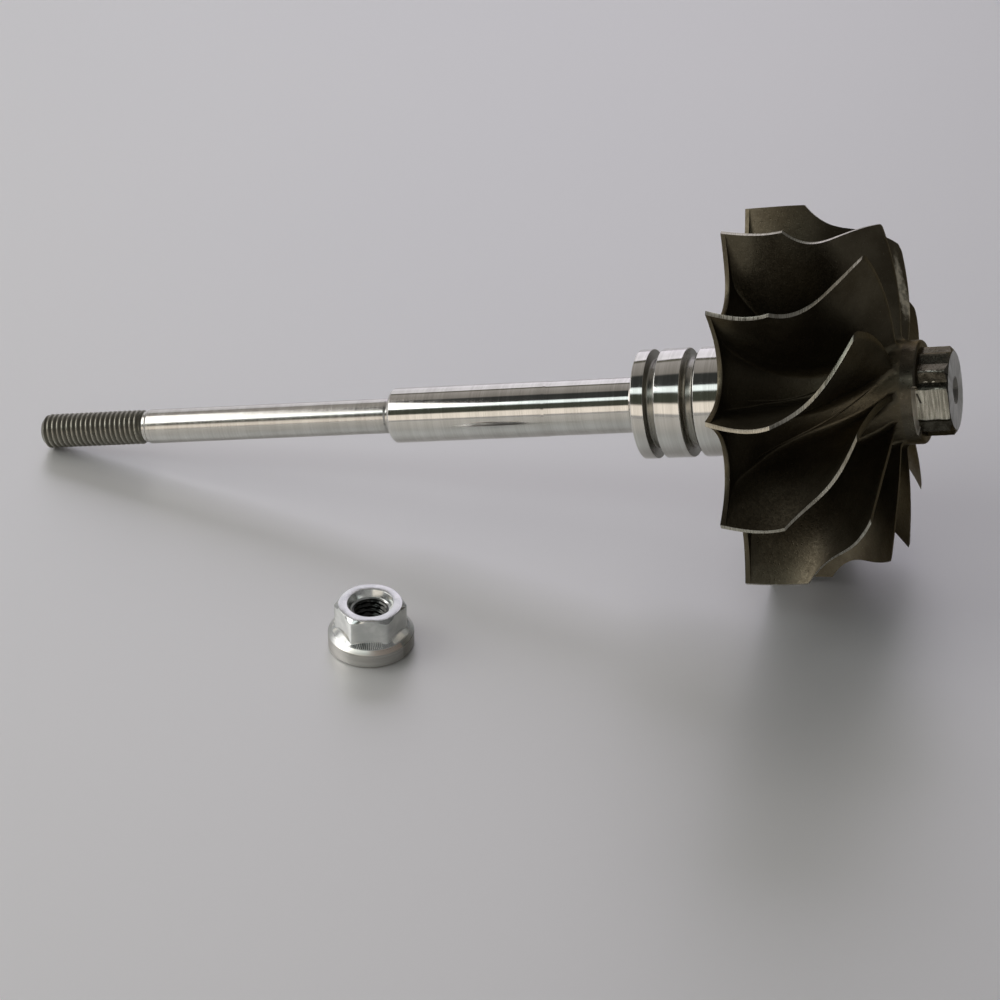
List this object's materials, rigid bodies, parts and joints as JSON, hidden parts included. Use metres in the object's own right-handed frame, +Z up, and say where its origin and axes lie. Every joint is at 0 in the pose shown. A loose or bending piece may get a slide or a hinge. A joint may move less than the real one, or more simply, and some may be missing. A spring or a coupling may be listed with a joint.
{
  "type": "turbocharger turbine wheel and shaft with its lock nut",
  "caption": "Cast radial turbine wheel with curved blades, scalloped back disc and twelve-point nose on a ground stepped shaft, lying at rest beside its flanged lock nut.",
  "frame": {"origin": "on the floor, in the middle of the footprint of the rotor and its nut", "axes": "+Z up; +X runs with the shaft toward the wheel's nose, seen from above; the rotor's own axis rises about 12 degrees toward the nose"},
  "size_m": [0.215, 0.1072, 0.0835],
  "materials": {
    "cast_alloy": "investment-cast nickel alloy, dark olive brown with fine grain, ground bright along the blade tips",
    "ground_steel": "ground and polished",
    "turned_steel": "fine turned, satin",
    "thread_steel": "cut thread, dull",
    "zinc_steel": "bright zinc plate",
    "flange_steel": "turned, grey brown"
  },
  "bodies": {
    "root": {"hub": "cast_alloy", "blade_01": "cast_alloy", "blade_02": "cast_alloy", "blade_03": "cast_alloy", "blade_04": "cast_alloy", "blade_05": "cast_alloy", "blade_06": "cast_alloy", "blade_07": "cast_alloy", "blade_08": "cast_alloy", "blade_09": "cast_alloy", "blade_10": "cast_alloy", "blade_11": "cast_alloy", "nose_12_point": "cast_alloy", "weld_boss": "turned_steel", "seal_collar": "ground_steel", "inner_journal": "ground_steel", "outer_journal": "ground_steel", "compressor_stub": "turned_steel", "threaded_end": "thread_steel", "nut_hex": "zinc_steel", "nut_flange": "flange_steel"}
  },
  "joints": []
}
